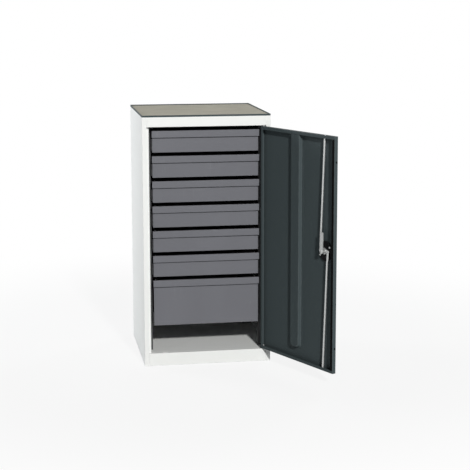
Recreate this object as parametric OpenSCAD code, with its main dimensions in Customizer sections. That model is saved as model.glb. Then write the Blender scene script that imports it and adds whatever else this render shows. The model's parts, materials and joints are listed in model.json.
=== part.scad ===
// Steel workshop side cabinet. One hinged door with a three-point lock closes over six shallow
// drawers, one deep drawer and a free bay. A ribbed mat lies in the tray on top.
// Units are millimetres. The origin is the centre of the carcass underside, the front is at -Y
// and +Z is up. The door is drawn open, its lock unlocked and its rods drawn in.

/* [Carcass] */
// Outer width of the carcass
cabinet_w = 500; // [460:10:600]
// Outer depth of the carcass
cabinet_d = 500; // [440:10:620]
// Overall height, with the tray rim
cabinet_h = 986; // [950:1:1200]
// Thickness of the carcass sheet
sheet = 1; // [0.8:0.1:1.5]
// Face width of the stile on each side of the door
stile_w = 18; // [16:1:24]
// Face height of the rail under the door
bottom_rail_h = 50; // [40:1:80]
// Face height of the rail over the door
top_rail_h = 38; // [30:1:60]
// Width of the strip that the door's free edge closes against
stop_w = 9; // [7:1:14]
// Clearance between the closed door and that strip
stop_gap = 1.5; // [1.5:0.1:2]
// Width of the side's flange behind the back panel
rear_flange = 15; // [10:1:25]
// Height of the turned edge inside the top rail
rail_lip = 12; // [8:1:20]
// Height of the fold at the front of the floor panel
floor_fold = 20; // [10:1:30]
// Width of the channel that stands under the floor panel
support_w = 40; // [30:1:60]

/* [Tray top] */
// Height of the tray rim over the carcass
rim_h = 7; // [5:0.5:12]
// Thickness of the tray rim
rim_t = 2.5; // [1.5:0.5:4]
// Thickness of the tray's sheet
tray_t = 1; // [0.8:0.1:1.5]
// Thickness of the rubber mat
mat_t = 2.5; // [1.5:0.5:3]
// Gap round the mat
mat_gap = 0.5; // [0.3:0.1:2]

/* [Door] */
// Depth of the folded door
door_t = 16; // [15.5:0.5:18]
// Thickness of the door sheet
door_sheet = 1; // [0.8:0.1:1.2]
// Gap beside the door
door_gap = 2.5; // [2.2:0.1:4]
// Gap over and under the door
door_end_gap = 3; // [2.5:0.5:5]
// Width of the lip that runs round the inside of the door
door_lip = 12; // [11:1:20]
// Angle at which the door rests open
door_open = 115; // [100:1:120]
// Clearance between the open door and the stile
stile_gap = 0.5; // [0.4:0.1:1.5]
// Diameter of the hinge pins
pin_d = 5; // [4:0.5:5.5]
// Wall of the bushes in the door
bush_wall = 1.1; // [0.8:0.1:1.4]
// Length of the bushes in the door
bush_len = 12; // [8:1:20]
// Length of each hinge pin inside its bush
pin_reach = 10; // [6:1:12]
// Height of the head of each hinge pin
pin_head = 2; // [1:0.5:3]
// Distance from the hinge edge of the door to the stiffener
stiffener_from_hinge = 195; // [120:1:200]
// Width of the stiffener's face
stiffener_w = 50; // [40:1:80]
// Thickness of the stiffener's sheet
stiffener_t = 1; // [0.8:0.1:1.2]
// Slant of each stiffener wall
stiffener_slant = 3; // [1:0.5:6]
// Width of each weld flange of the stiffener
stiffener_flange = 8; // [5:1:12]
// Height from the bottom lip to the end of the stiffener
stiffener_end = 40; // [10:1:60]
// Thickness of the rubber strip on the lip at the free edge
seal_t = 1.2; // [0.8:0.1:1.4]
// Distance from the free edge of the door to the rubber strip
seal_inset = 1; // [0.5:0.1:2]
// Diameter of the rubber buffers in the free edge
buffer_d = 8; // [6:0.5:9]
// Thickness of the head of each buffer
buffer_t = 1.2; // [0.8:0.1:1.4]
// Diameter of the stem of each buffer
buffer_stem_d = 5; // [3:0.5:5]
// Length of the stem of each buffer
buffer_stem = 4; // [3:0.5:6]
// Distance from each end of the door to its buffer
buffer_from_end = 95; // [40:1:200]
// Depth of the buffers behind the front of the door
buffer_depth = 5.5; // [5.5:0.5:8]

/* [Lock] */
// Height of the lock over the ground
lock_z = 507; // [450:1:560]
// Distance from the free edge of the door to the lock
lock_backset = 64; // [60:1:80]
// Diameter of the lock housing
housing_d = 78; // [76:1:90]
// Thickness of the lock housing
housing_t = 4.5; // [3.5:0.1:4.8]
// Diameter of the lock spindle
spindle_d = 16; // [14:1:18]
// Diameter of the spindle's end inside the tongue
spindle_end_d = 10; // [8:1:12]
// Distance from the lock's axis to each cam pin
cam_r = 21.5; // [20:0.5:22]
// Thickness of the cam plate
cam_t = 2.5; // [2:0.1:2.6]
// Width of the cam plate's arms
cam_w = 12; // [10:1:12]
// Diameter of the cam plate's middle
cam_hub_d = 24; // [22:1:26]
// Diameter of the cam pins
cam_pin_d = 6; // [5:0.5:6]
// Diameter of the heads of the cam pins
cam_pin_head_d = 8.6; // [8:0.2:10]
// Height of the heads of the cam pins
cam_pin_head = 1.1; // [0.8:0.1:1.2]
// Diameter of the locking rods
rod_d = 8; // [7:0.5:8]
// Thickness of the flattened end of each rod
palm_t = 3; // [2.5:0.1:3.2]
// Width of the flattened end of each rod
palm_w = 12; // [10:1:12]
// Length of the flattened end of each rod, from its pin
palm_len = 34; // [32:1:45]
// Clearance round a rod in the slot of its rail
rail_slot_gap = 2; // [1:0.5:2.5]
// Clearance round a rod in the slot of the door
door_slot_gap = 0.3; // [0.3:0.1:0.6]
// Clearance at each end of the slot of the door
door_slot_play = 1; // [0.8:0.1:2]
// Length of the tongue over the lock's axis
tongue_len = 72; // [68:1:78]
// Width of the tongue
tongue_w = 19; // [16:1:24]
// Thickness of the tongue
tongue_t = 3; // [2.5:0.5:4]
// Clearance between the stop strip and the tongue
tongue_gap = 2; // [1:0.5:3]
// Diameter of the screw heads on the housing
screw_d = 8; // [6:0.5:8]
// Height of the screw heads
screw_h = 2.6; // [2:0.1:2.8]
// Diameter of the screw shanks
screw_shank_d = 4; // [3:0.5:5]
// Distance from the lock's axis to each housing screw
screw_r = 33; // [32:0.5:34]
// Angle of the housing screws over the horizontal
screw_angle = 32; // [20:1:50]
// Diameter of the screw head that holds the tongue
tongue_screw_d = 14; // [12:1:16]
// Diameter of the rosette outside the door
rosette_d = 50; // [44:1:56]
// Thickness of the rosette
rosette_t = 3; // [2:0.5:5]
// Diameter of the handle's neck
neck_d = 36; // [28:1:40]
// Length of the handle's neck
neck_t = 8; // [5:1:12]
// Distance from the lock's axis to the end of the grip
grip_len = 56; // [50:1:60]
// Thickness of the grip
grip_t = 14; // [12:1:18]
// Width of the grip at the key barrel
grip_w = 26; // [24:1:30]
// Width of the grip at its end
grip_end_w = 18; // [14:1:22]
// Diameter of the key barrel
barrel_d = 17; // [14:1:18]
// Depth of the key barrel in the grip
barrel_depth = 12; // [8:1:12]
// Height of the key barrel over the grip
barrel_proud = 1.2; // [0.5:0.1:2]
// Width of the key slot
key_slot_w = 1.6; // [1.2:0.1:2]
// Length of the key slot
key_slot_len = 8; // [6:1:10]
// Depth of the key slot
key_slot_depth = 6; // [3:1:8]

/* [Drawers] */
// Number of shallow drawers over the deep one
shallow_count = 6; // [6]
// Height from one drawer to the next
drawer_pitch = 98; // [94:1:104]
// Height of a shallow drawer front
shallow_h = 84; // [78:1:90]
// Gap between the top of the door opening and the first drawer
first_gap = 18; // [12:1:30]
// Clearance between the lock of the closed door and the drawer lips
lock_clear = 3.9; // [2:0.1:30]
// Distance from a drawer's lip to its face
lip_reach = 10; // [8:1:14]
// Height of a drawer's lip
lip_h = 26; // [20:1:32]
// Overhang of a drawer's lip on each side of its face
lip_overhang = 2.5; // [2:0.5:5]
// Clearance between a drawer's lip and the open door
lip_door_gap = 1.6; // [1:0.1:3]
// Thickness of the drawer fronts
front_t = 1.2; // [1:0.1:1.5]
// Thickness of the drawer boxes
box_t = 1; // [0.8:0.1:1.2]
// Drop of the box walls under the top of the front
box_drop = 3; // [2:1:8]
// Height of the box bottom over the lower edge of the front
box_lift = 3; // [1:1:5]
// Gap between the drawer boxes and the back panel
rear_gap = 23; // [15:1:40]

/* [Slides] */
// Depth of the slotted uprights
upright_d = 37; // [35:1:45]
// Width of the slotted uprights
upright_w = 30; // [25:1:40]
// Sheet thickness of the uprights
upright_t = 1.2; // [1:0.1:1.5]
// Distance from each end of the slides to the uprights
upright_inset = 15; // [10:1:30]
// Width of the slots in the uprights
slot_w = 3; // [3:0.5:4]
// Height of the slots in the uprights
slot_h = 14; // [12:1:16]
// Thickness of the runner hooks
hook_t = 2; // [1.5:0.1:2.4]
// Distance that the runner hooks hang behind the slots
hook_drop = 6; // [4:1:8]
// Overall thickness of a slide
slide_t = 13; // [12.8:0.1:14]
// Overall height of a slide
slide_h = 44; // [40:1:46]
// Sheet thickness of the slide members
member_t = 1.2; // [1:0.1:1.3]
// Height from the lower edge of a drawer front to the middle of its slide
slide_rise = 30; // [28:1:35]
// Gap between a drawer front and the front end of its slide
slide_front_gap = 3.8; // [2:0.1:8]
// Gap between the rear of a drawer box and the rear end of its slide
slide_rear_gap = 5; // [2:1:10]

/* [Hidden] */
$fn = 64;
e = 1;            // how far a cutter passes through a face
running = 0.05;   // radial clearance of a turning fit
seat = 0.3;       // clearance between parts that slide on one another
ball_gap = 0.8;   // room for the balls between two slide members, sideways
race_gap = 0.5;   // room between two slide members, upwards

half_w = cabinet_w / 2;
half_d = cabinet_d / 2;
front_y = -half_d;
carcass_h = cabinet_h - rim_h;
opening_half = half_w - stile_w;
opening_z0 = bottom_rail_h;
opening_z1 = carcass_h - top_rail_h;
stop_y = front_y + door_t + stop_gap;
return_y = stop_y + sheet;
back_y = half_d - 2 * sheet;

door_half = opening_half - door_gap;
door_z0 = opening_z0 + door_end_gap;
door_z1 = opening_z1 - door_end_gap;
door_inner_y = front_y + door_t;
bush_d = pin_d + 2 * bush_wall;
hinge_depth = door_sheet + bush_d / 2 + running;
collar_d = max(pin_d, 2 * (hinge_depth - sheet - seat));
// The skin of the door, swung open, clears the front corner of the stile.
stile_inset = (hinge_depth * (1 - cos(door_open)) + stile_gap) / sin(door_open) - door_gap;
hinge_inset = max(hinge_depth, stile_inset);
hinge_x = door_half - hinge_inset;
hinge_y = front_y + hinge_depth;

lock_x = -door_half + lock_backset;
cam_depth = door_sheet + housing_t + seat;
palm_depth = cam_depth + cam_t + seat;
rod_depth = palm_depth + palm_t / 2;
rod_y = front_y + rod_depth;
tongue_depth = door_t + stop_gap + sheet + tongue_gap;
tongue_end = tongue_depth + tongue_t;
// The rods turn evenly with the cam, so their far ends swing a little to one side on the way.
swing_angle = asin(2 / PI);
rod_swing = cam_r * (cos(swing_angle) - 1 + swing_angle / 90);

// The drawers pass the hinge edge of the open door, and stay behind the lock of the closed one.
door_edge_x = hinge_x + hinge_inset * cos(door_open) - (door_t - hinge_depth) * sin(door_open);
lip_half = door_edge_x - lip_door_gap;
face_half = lip_half - lip_overhang;
lip_y = front_y + tongue_end + screw_h + lock_clear;
face_y = lip_y + lip_reach;
box_y0 = face_y + front_t;
box_y1 = back_y - rear_gap;
slide_y0 = box_y0 + slide_front_gap;
slide_y1 = box_y1 - slide_rear_gap;
upright_x = half_w - sheet - upright_d;
box_half = upright_x - slide_t;
drawer_count = shallow_count + 1;

function is_deep(n) = n == drawer_count;
function front_h(n) = shallow_h + (is_deep(n) ? drawer_pitch : 0);
function front_top(n) = opening_z1 - first_gap - (n - 1) * drawer_pitch;
function front_bottom(n) = front_top(n) - front_h(n);
function slide_z(n) = front_bottom(n) + slide_rise;

white = "#e8eae7";
anthracite = "#3b4448";
drawer_grey = "#6d6f73";
zinc = "#c3c6c8";
slide_steel = "#3f4144";
black = "#17191a";
mat_grey = "#97968a";

fixed_nodes = [
  "side_left", "side_right", "back_panel", "top_panel", "top_rail", "bottom_rail",
  "floor_panel", "floor_support", "top_tray", "ribbed_mat", "uprights_left",
  "uprights_right", "cabinet_runners_left", "cabinet_runners_right", "hinge_pins"
];
door_nodes = [
  "door_shell", "door_stiffener", "door_seal", "door_buffers", "hinge_bushes", "lock_housing",
  "housing_screws", "lock_rosette", "lock_handle", "lock_spindle", "cam_plate",
  "cam_pins", "lock_tongue", "tongue_screw", "key_barrel", "upper_rod", "lower_rod"
];
drawer_nodes = [
  for (n = [1:drawer_count], piece = ["box", "front", "runners", "slides"])
    str("drawer_", n, "_", piece)
];

// ---- helpers ----

// A block from its lowest corner to its highest.
module block(lo, hi) {
  translate(lo) cube(hi - lo);
}

// Extrudes an outline of [y, z] points from x0 to x1.
module along_x(x0, x1) {
  translate([x0, 0, 0]) rotate([90, 0, 90]) linear_extrude(x1 - x0) children();
}

// Extrudes an outline of [x, z] points from y0 to y1.
module along_y(y0, y1) {
  translate([0, y1, 0]) rotate([90, 0, 0]) linear_extrude(y1 - y0) children();
}

// Extrudes an outline of [x, y] points from z0 to z1.
module along_z(z0, z1) {
  translate([0, 0, z0]) linear_extrude(z1 - z0) children();
}

// Draws what is given on the left, and its mirror image on the right.
module both_sides() {
  children();
  mirror([1, 0, 0]) children();
}

// Swings what is drawn for the closed door out to where the door rests.
module on_door() {
  translate([hinge_x, hinge_y, 0]) rotate([0, 0, door_open])
    translate([-hinge_x, -hinge_y, 0]) children();
}

// Centres what is drawn on the lock's axis: x towards the hinge, y up, z out of the door.
module at_lock() {
  on_door() translate([lock_x, front_y, lock_z]) rotate([90, 0, 0]) children();
}

// A disc about the lock's axis, between two depths behind the front of the door.
module disc(d, depth0, depth1) {
  translate([0, 0, -depth1]) cylinder(h = depth1 - depth0, d = d);
}

// A block about the lock's axis, between two depths behind the front of the door.
module slab(lo, hi, depth0, depth1) {
  block([lo[0], lo[1], -depth1], [hi[0], hi[1], -depth0]);
}

// ---- carcass ----

// The sheet of one side, on the left: flange behind the back panel, side, stile and return.
// The return ends under the top panel.
module side_sheet() {
  difference() {
    along_z(0, carcass_h) polygon([
      [-half_w, front_y],
      [-opening_half, front_y],
      [-opening_half, return_y],
      [-opening_half - sheet, return_y],
      [-opening_half - sheet, front_y + sheet],
      [-half_w + sheet, front_y + sheet],
      [-half_w + sheet, half_d - sheet],
      [-half_w + rear_flange, half_d - sheet],
      [-half_w + rear_flange, half_d],
      [-half_w, half_d]
    ]);
    block([-opening_half - sheet - e, front_y + sheet, carcass_h - sheet],
          [-opening_half + e, return_y + e, carcass_h + e]);
  }
}

module side_left() {
  color(white) union() {
    side_sheet();
    block([-opening_half - sheet, stop_y, opening_z0],
          [-opening_half + stop_w, return_y, opening_z1]);
  }
}

module side_right() {
  color(white) mirror([1, 0, 0]) side_sheet();
}

module back_panel() {
  color(white) block([-half_w + sheet, back_y, 0], [half_w - sheet, half_d - sheet, carcass_h - sheet]);
}

module top_panel() {
  color(white) block([-half_w + sheet, front_y + sheet, carcass_h - sheet],
                     [half_w - sheet, half_d - sheet, carcass_h]);
}

// Openings through a rail's flange at height z: a slot for the locking rod, a hole for the pin.
module rail_holes(z) {
  half_len = rod_d / 2 + rod_swing + rail_slot_gap;
  half_width = rod_d / 2 + rail_slot_gap;
  block([lock_x - half_len, rod_y - half_width, z - e],
        [lock_x + half_len, rod_y + half_width, z + sheet + e]);
  translate([hinge_x, hinge_y, z - e]) cylinder(h = sheet + 2 * e, d = pin_d + 2 * running);
}

module top_rail() {
  color(white) difference() {
    along_x(-opening_half, opening_half) polygon([
      [front_y, opening_z1],
      [return_y, opening_z1],
      [return_y, opening_z1 + rail_lip],
      [return_y - sheet, opening_z1 + rail_lip],
      [return_y - sheet, opening_z1 + sheet],
      [front_y + sheet, opening_z1 + sheet],
      [front_y + sheet, carcass_h],
      [front_y, carcass_h]
    ]);
    rail_holes(opening_z1);
  }
}

module bottom_rail() {
  color(white) difference() {
    along_x(-opening_half, opening_half) polygon([
      [front_y, 0],
      [return_y, 0],
      [return_y, sheet],
      [front_y + sheet, sheet],
      [front_y + sheet, opening_z0 - sheet],
      [return_y, opening_z0 - sheet],
      [return_y, opening_z0],
      [front_y, opening_z0]
    ]);
    rail_holes(opening_z0 - sheet);
  }
}

module floor_panel() {
  color(white) along_x(-half_w + sheet, half_w - sheet) polygon([
    [return_y, opening_z0 - floor_fold],
    [return_y + sheet, opening_z0 - floor_fold],
    [return_y + sheet, opening_z0 - sheet],
    [back_y, opening_z0 - sheet],
    [back_y, opening_z0],
    [return_y, opening_z0]
  ]);
}

module floor_support() {
  color(white) along_x(-half_w + sheet, half_w - sheet) polygon([
    [-support_w / 2, 0],
    [support_w / 2, 0],
    [support_w / 2, opening_z0 - sheet],
    [support_w / 2 - sheet, opening_z0 - sheet],
    [support_w / 2 - sheet, sheet],
    [-support_w / 2 + sheet, sheet],
    [-support_w / 2 + sheet, opening_z0 - sheet],
    [-support_w / 2, opening_z0 - sheet]
  ]);
}

module top_tray() {
  color(anthracite) difference() {
    block([-half_w, front_y, carcass_h], [half_w, half_d, cabinet_h]);
    block([-half_w + rim_t, front_y + rim_t, carcass_h + tray_t],
          [half_w - rim_t, half_d - rim_t, cabinet_h + e]);
  }
}

module ribbed_mat() {
  edge = rim_t + mat_gap;
  color(mat_grey) block([-half_w + edge, front_y + edge, carcass_h + tray_t],
                        [half_w - edge, half_d - edge, carcass_h + tray_t + mat_t]);
}

// ---- uprights and slides ----

function upright_ys() = [slide_y0 + upright_inset, slide_y1 - upright_inset - upright_w];
function slot_ys() = [for (y = upright_ys()) y + upright_w / 2];

// One slotted upright on the left, from y0, with a slot at every half pitch.
module upright(y0) {
  y1 = y0 + upright_w;
  slot_y = y0 + upright_w / 2;
  difference() {
    along_z(opening_z0, carcass_h - sheet) polygon([
      [-half_w + sheet, y0],
      [-upright_x, y0],
      [-upright_x, y1],
      [-half_w + sheet, y1],
      [-half_w + sheet, y1 - upright_t],
      [-upright_x - upright_t, y1 - upright_t],
      [-upright_x - upright_t, y0 + upright_t],
      [-half_w + sheet, y0 + upright_t]
    ]);
    for (z = [slide_z(1) + drawer_pitch / 2 : -drawer_pitch / 2 : opening_z0 + slot_h])
      block([-upright_x - upright_t - e, slot_y - slot_w / 2, z - slot_h / 2],
            [-upright_x + e, slot_y + slot_w / 2, z + slot_h / 2]);
  }
}

module uprights() {
  color(slide_steel) for (y = upright_ys()) upright(y);
}

module uprights_left() {
  uprights();
}

module uprights_right() {
  mirror([1, 0, 0]) uprights();
}

// A channel on the left, open towards the drawer, about height 0: web at x0, flanges to x1.
module channel(x0, x1, h) {
  along_y(slide_y0, slide_y1) polygon([
    [x0, -h / 2],
    [x1, -h / 2],
    [x1, -h / 2 + member_t],
    [x0 + member_t, -h / 2 + member_t],
    [x0 + member_t, h / 2 - member_t],
    [x1, h / 2 - member_t],
    [x1, h / 2],
    [x0, h / 2]
  ]);
}

middle_h = slide_h - 2 * (member_t + race_gap);
inner_h = middle_h - 2 * (member_t + race_gap);
middle_x = upright_x - member_t - ball_gap;
inner_x = middle_x - member_t - ball_gap;
outer_flange = slide_t - 3.5;   // flange widths leave the drawer member's web free
middle_flange = slide_t - 4.6;

// The fixed member of one slide, with a hook in a slot of each upright.
module cabinet_member() {
  channel(-upright_x, -upright_x + outer_flange, slide_h);
  hook_x = upright_x + upright_t + seat;
  for (y = slot_ys()) {
    block([-hook_x - member_t, y - hook_t / 2, -slot_h / 2 + 2 * seat],
          [-upright_x, y + hook_t / 2, slot_h / 2 - 2 * seat]);
    block([-hook_x - member_t, y - hook_t / 2, -slot_h / 2 - hook_drop],
          [-hook_x, y + hook_t / 2, 0]);
  }
}

module cabinet_members() {
  color(slide_steel) for (n = [1:drawer_count]) translate([0, 0, slide_z(n)]) cabinet_member();
}

module cabinet_runners_left() {
  cabinet_members();
}

module cabinet_runners_right() {
  mirror([1, 0, 0]) cabinet_members();
}

module drawer_slides(n) {
  color(slide_steel) both_sides() translate([0, 0, slide_z(n)])
    channel(-middle_x, -middle_x + middle_flange, middle_h);
}

// The drawer's own member is a channel that opens away from the drawer.
module drawer_runners(n) {
  color(slide_steel) both_sides() translate([0, 0, slide_z(n)])
    along_y(slide_y0, slide_y1) polygon([
      [-box_half, -inner_h / 2],
      [-inner_x, -inner_h / 2],
      [-inner_x, -inner_h / 2 + member_t],
      [-box_half - member_t, -inner_h / 2 + member_t],
      [-box_half - member_t, inner_h / 2 - member_t],
      [-inner_x, inner_h / 2 - member_t],
      [-inner_x, inner_h / 2],
      [-box_half, inner_h / 2]
    ]);
}

// ---- drawers ----

module drawer_box(n) {
  z0 = front_bottom(n) + box_lift;
  z1 = front_top(n) - box_drop;
  color(drawer_grey) difference() {
    block([-box_half, box_y0, z0], [box_half, box_y1, z1]);
    block([-box_half + box_t, box_y0 + box_t, z0 + box_t],
          [box_half - box_t, box_y1 - box_t, z1 + e]);
  }
}

// The face, and over it the lip that is folded forward and down as a full-width grip.
module drawer_front(n) {
  top = front_top(n);
  color(drawer_grey) union() {
    block([-face_half, face_y, front_bottom(n)], [face_half, box_y0, top]);
    along_x(-lip_half, lip_half) polygon([
      [lip_y, top - lip_h],
      [lip_y + front_t, top - lip_h],
      [lip_y + front_t, top - front_t],
      [box_y0, top - front_t],
      [box_y0, top],
      [lip_y, top]
    ]);
  }
}

// ---- door ----

module door_shell() {
  color(anthracite) on_door() difference() {
    block([-door_half, front_y, door_z0], [door_half, door_inner_y, door_z1]);
    block([-door_half + door_sheet, front_y + door_sheet, door_z0 + door_sheet],
          [door_half - door_sheet, door_inner_y - door_sheet, door_z1 - door_sheet]);
    block([-door_half + door_lip, door_inner_y - door_sheet - e, door_z0 + door_lip],
          [door_half - door_lip, door_inner_y + e, door_z1 - door_lip]);
    for (z = [door_z0, door_z1 - door_sheet]) {
      rod_slot(z);
      translate([hinge_x, hinge_y, z - e])
        cylinder(h = door_sheet + 2 * e, d = bush_d + 2 * running);
    }
    translate([lock_x, front_y - e, lock_z]) rotate([-90, 0, 0])
      cylinder(h = door_sheet + 2 * e, d = spindle_d + 2 * seat);
    at_buffers() translate([0, 0, -e]) cylinder(h = door_sheet + 2 * e, d = buffer_stem_d + 2 * seat);
  }
}

// Puts what is given at each buffer of the closed door: z runs from the free edge to the hinge.
module at_buffers() {
  for (z = [door_z0 + buffer_from_end, door_z1 - buffer_from_end])
    translate([-door_half, front_y + buffer_depth, z]) rotate([0, 90, 0]) children();
}

// The slot that guides a rod through the top or bottom edge of the door.
module rod_slot(z) {
  half_len = rod_d / 2 + rod_swing + door_slot_play;
  half_width = rod_d / 2 + door_slot_gap;
  block([lock_x - half_len, rod_y - half_width, z - e],
        [lock_x + half_len, rod_y + half_width, z + door_sheet + e]);
}

module door_stiffener() {
  x1 = door_half - stiffener_from_hinge;
  x0 = x1 - stiffener_w;
  y0 = front_y + door_sheet;
  y1 = door_inner_y - door_sheet;
  t = stiffener_t;
  z0 = door_z0 + door_lip + stiffener_end;
  color(anthracite) on_door() union() {
    along_z(z0, door_z1 - door_sheet) polygon([
      [x1 + stiffener_slant + stiffener_flange, y0],
      [x1 + stiffener_slant + stiffener_flange, y0 + t],
      [x1 + stiffener_slant, y0 + t],
      [x1, y1],
      [x0, y1],
      [x0 - stiffener_slant, y0 + t],
      [x0 - stiffener_slant - stiffener_flange, y0 + t],
      [x0 - stiffener_slant - stiffener_flange, y0],
      [x0 - stiffener_slant + t, y0],
      [x0 + t, y1 - t],
      [x1 - t, y1 - t],
      [x1 + stiffener_slant - t, y0]
    ]);
    along_z(z0, z0 + t) polygon([
      [x1 + stiffener_slant, y0],
      [x1, y1],
      [x0, y1],
      [x0 - stiffener_slant, y0]
    ]);
  }
}

// The strip on the free-edge lip, between the lips of the top and bottom edges.
module door_seal() {
  color(black) on_door()
    block([-door_half + seal_inset, door_inner_y, door_z0 + door_lip],
          [-door_half + door_lip, door_inner_y + seal_t, door_z1 - door_lip]);
}

module door_buffers() {
  color(black) on_door() at_buffers() {
    translate([0, 0, -buffer_t]) cylinder(h = buffer_t, d = buffer_d);
    cylinder(h = buffer_stem, d = buffer_stem_d);
  }
}

module hinge_bushes() {
  color(zinc) on_door() for (z = [door_z0, door_z1 - bush_len])
    translate([hinge_x, hinge_y, z]) difference() {
      cylinder(h = bush_len, d = bush_d);
      translate([0, 0, -e]) cylinder(h = bush_len + 2 * e, d = pin_d + 2 * running);
    }
}

// One hinge pin that points up from the rail flange whose underside is at height 0.
module hinge_pin() {
  translate([0, 0, -pin_head]) cylinder(h = pin_head, d = collar_d);
  cylinder(h = sheet + door_end_gap + pin_reach, d = pin_d);
  translate([0, 0, sheet]) cylinder(h = door_end_gap - seat, d = collar_d);
}

module hinge_pins() {
  color(zinc) translate([hinge_x, hinge_y, 0]) {
    translate([0, 0, opening_z0 - sheet]) hinge_pin();
    translate([0, 0, opening_z1 + sheet]) mirror([0, 0, 1]) hinge_pin();
  }
}

// ---- lock ----

screw_x = screw_r * cos(screw_angle);
screw_y = screw_r * sin(screw_angle);
housing_depth = door_sheet + housing_t;

module lock_housing() {
  color(black) at_lock() difference() {
    disc(housing_d, door_sheet, housing_depth);
    disc(spindle_d + 2 * running, 0, housing_depth + e);
    for (s = [-1, 1]) translate([-s * screw_x, s * screw_y, 0])
      disc(screw_shank_d + 2 * running, 0, housing_depth + e);
  }
}

module housing_screws() {
  color(zinc) at_lock() for (s = [-1, 1]) translate([-s * screw_x, s * screw_y, 0]) {
    disc(screw_shank_d, door_sheet, housing_depth);
    disc(screw_d, housing_depth, housing_depth + screw_h);
  }
}

module lock_rosette() {
  color(black) at_lock() difference() {
    disc(rosette_d, -rosette_t, 0);
    disc(spindle_d + 2 * seat, -rosette_t - e, e);
  }
}

// The grip hangs down while the lock is open, and lies level, towards the hinge, when it is shut.
module lock_handle() {
  neck_depth = -rosette_t - seat;
  grip_depth = neck_depth - neck_t;
  end_y = -grip_len + grip_end_w / 2;
  color(black) at_lock() difference() {
    union() {
      disc(neck_d, grip_depth, neck_depth);
      disc(grip_w, grip_depth - grip_t, grip_depth);
      translate([0, end_y, 0]) disc(grip_end_w, grip_depth - grip_t, grip_depth);
      translate([0, 0, -grip_depth]) linear_extrude(grip_t) polygon([
        [-grip_w / 2, 0],
        [-grip_end_w / 2, end_y],
        [grip_end_w / 2, end_y],
        [grip_w / 2, 0]
      ]);
    }
    disc(spindle_d + 2 * running, grip_depth, e);
    disc(barrel_d + 2 * running, grip_depth - grip_t - e, grip_depth - grip_t + barrel_depth);
  }
}

module lock_spindle() {
  color(zinc) at_lock() {
    disc(spindle_d, -rosette_t - seat - neck_t, tongue_depth);
    disc(spindle_end_d, tongue_depth - e, tongue_end);
  }
}

module cam_plate() {
  color(zinc) at_lock() difference() {
    union() {
      disc(cam_hub_d, cam_depth, cam_depth + cam_t);
      slab([-cam_r, -cam_w / 2], [cam_r, cam_w / 2], cam_depth, cam_depth + cam_t);
      for (s = [-1, 1]) translate([s * cam_r, 0, 0])
        disc(cam_w, cam_depth, cam_depth + cam_t);
    }
    disc(spindle_d + 2 * running, cam_depth - e, cam_depth + cam_t + e);
  }
}

module cam_pins() {
  head_depth = palm_depth + palm_t + seat;
  color(zinc) at_lock() for (s = [-1, 1]) translate([s * cam_r, 0, 0]) {
    disc(cam_pin_d, cam_depth + cam_t, head_depth + e / 2);
    disc(cam_pin_head_d, head_depth, head_depth + cam_pin_head);
  }
}

module lock_tongue() {
  color(zinc) at_lock() difference() {
    union() {
      disc(tongue_w, tongue_depth, tongue_end);
      slab([-tongue_w / 2, 0], [tongue_w / 2, tongue_len], tongue_depth, tongue_end);
    }
    disc(spindle_end_d + 2 * running, tongue_depth - e, tongue_end + e);
  }
}

module tongue_screw() {
  color(zinc) at_lock() disc(tongue_screw_d, tongue_end, tongue_end + screw_h);
}

module key_barrel() {
  face_depth = -rosette_t - seat - neck_t - grip_t - barrel_proud;
  color(zinc) at_lock() difference() {
    disc(barrel_d, face_depth, face_depth + barrel_proud + barrel_depth - seat);
    slab([-key_slot_w / 2, -key_slot_len / 2], [key_slot_w / 2, key_slot_len / 2],
         face_depth - e, face_depth + key_slot_depth);
  }
}

// One locking rod that runs up from its pin at the origin. Its end by the pin is flattened.
module rod(len) {
  difference() {
    union() {
      disc(palm_w, palm_depth, palm_depth + palm_t);
      slab([-palm_w / 2, 0], [palm_w / 2, palm_len], palm_depth, palm_depth + palm_t);
      translate([0, palm_len - palm_w / 2, -rod_depth]) rotate([-90, 0, 0])
        cylinder(h = len - palm_len + palm_w / 2, d = rod_d);
    }
    disc(cam_pin_d + 2 * running, palm_depth - e, palm_depth + palm_t + e);
  }
}

// Each rod leans from its pin to the middle of its slot in the edge of the door.
module upper_rod() {
  rise = door_z1 - lock_z;
  color(zinc) at_lock() translate([cam_r, 0, 0]) rotate([0, 0, atan(cam_r / rise)])
    rod(norm([cam_r, rise]));
}

module lower_rod() {
  drop = lock_z - door_z0;
  color(zinc) at_lock() translate([-cam_r, 0, 0]) rotate([0, 0, 180 + atan(cam_r / drop)])
    rod(norm([cam_r, drop]));
}

// ---- what is drawn ----

side_left();
side_right();
back_panel();
top_panel();
top_rail();
bottom_rail();
floor_panel();
floor_support();
top_tray();
ribbed_mat();
uprights_left();
uprights_right();
cabinet_runners_left();
cabinet_runners_right();
hinge_pins();
door_shell();
door_stiffener();
door_seal();
door_buffers();
hinge_bushes();
lock_housing();
housing_screws();
lock_rosette();
lock_handle();
lock_spindle();
cam_plate();
cam_pins();
lock_tongue();
tongue_screw();
key_barrel();
upper_rod();
lower_rod();
for (n = [1:drawer_count]) {
  drawer_box(n);
  drawer_front(n);
  drawer_runners(n);
  drawer_slides(n);
}
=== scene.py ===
# %% [markdown]
# # A steel workshop cabinet
#
# This lesson dresses a side cabinet: a white sheet-steel carcass, one dark door with a rod lock,
# seven drawers on slides and a ribbed mat on top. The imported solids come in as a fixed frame.
# The finishes are mixed first, from procedural nodes. Each later step models one kind of piece the
# way it is made in the workshop: a line is drawn, pulled into a sheet, folded, punched and rounded.

# %% Load the frame
import json
import math

import bmesh
import bpy
from mathutils import Matrix, Vector


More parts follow.
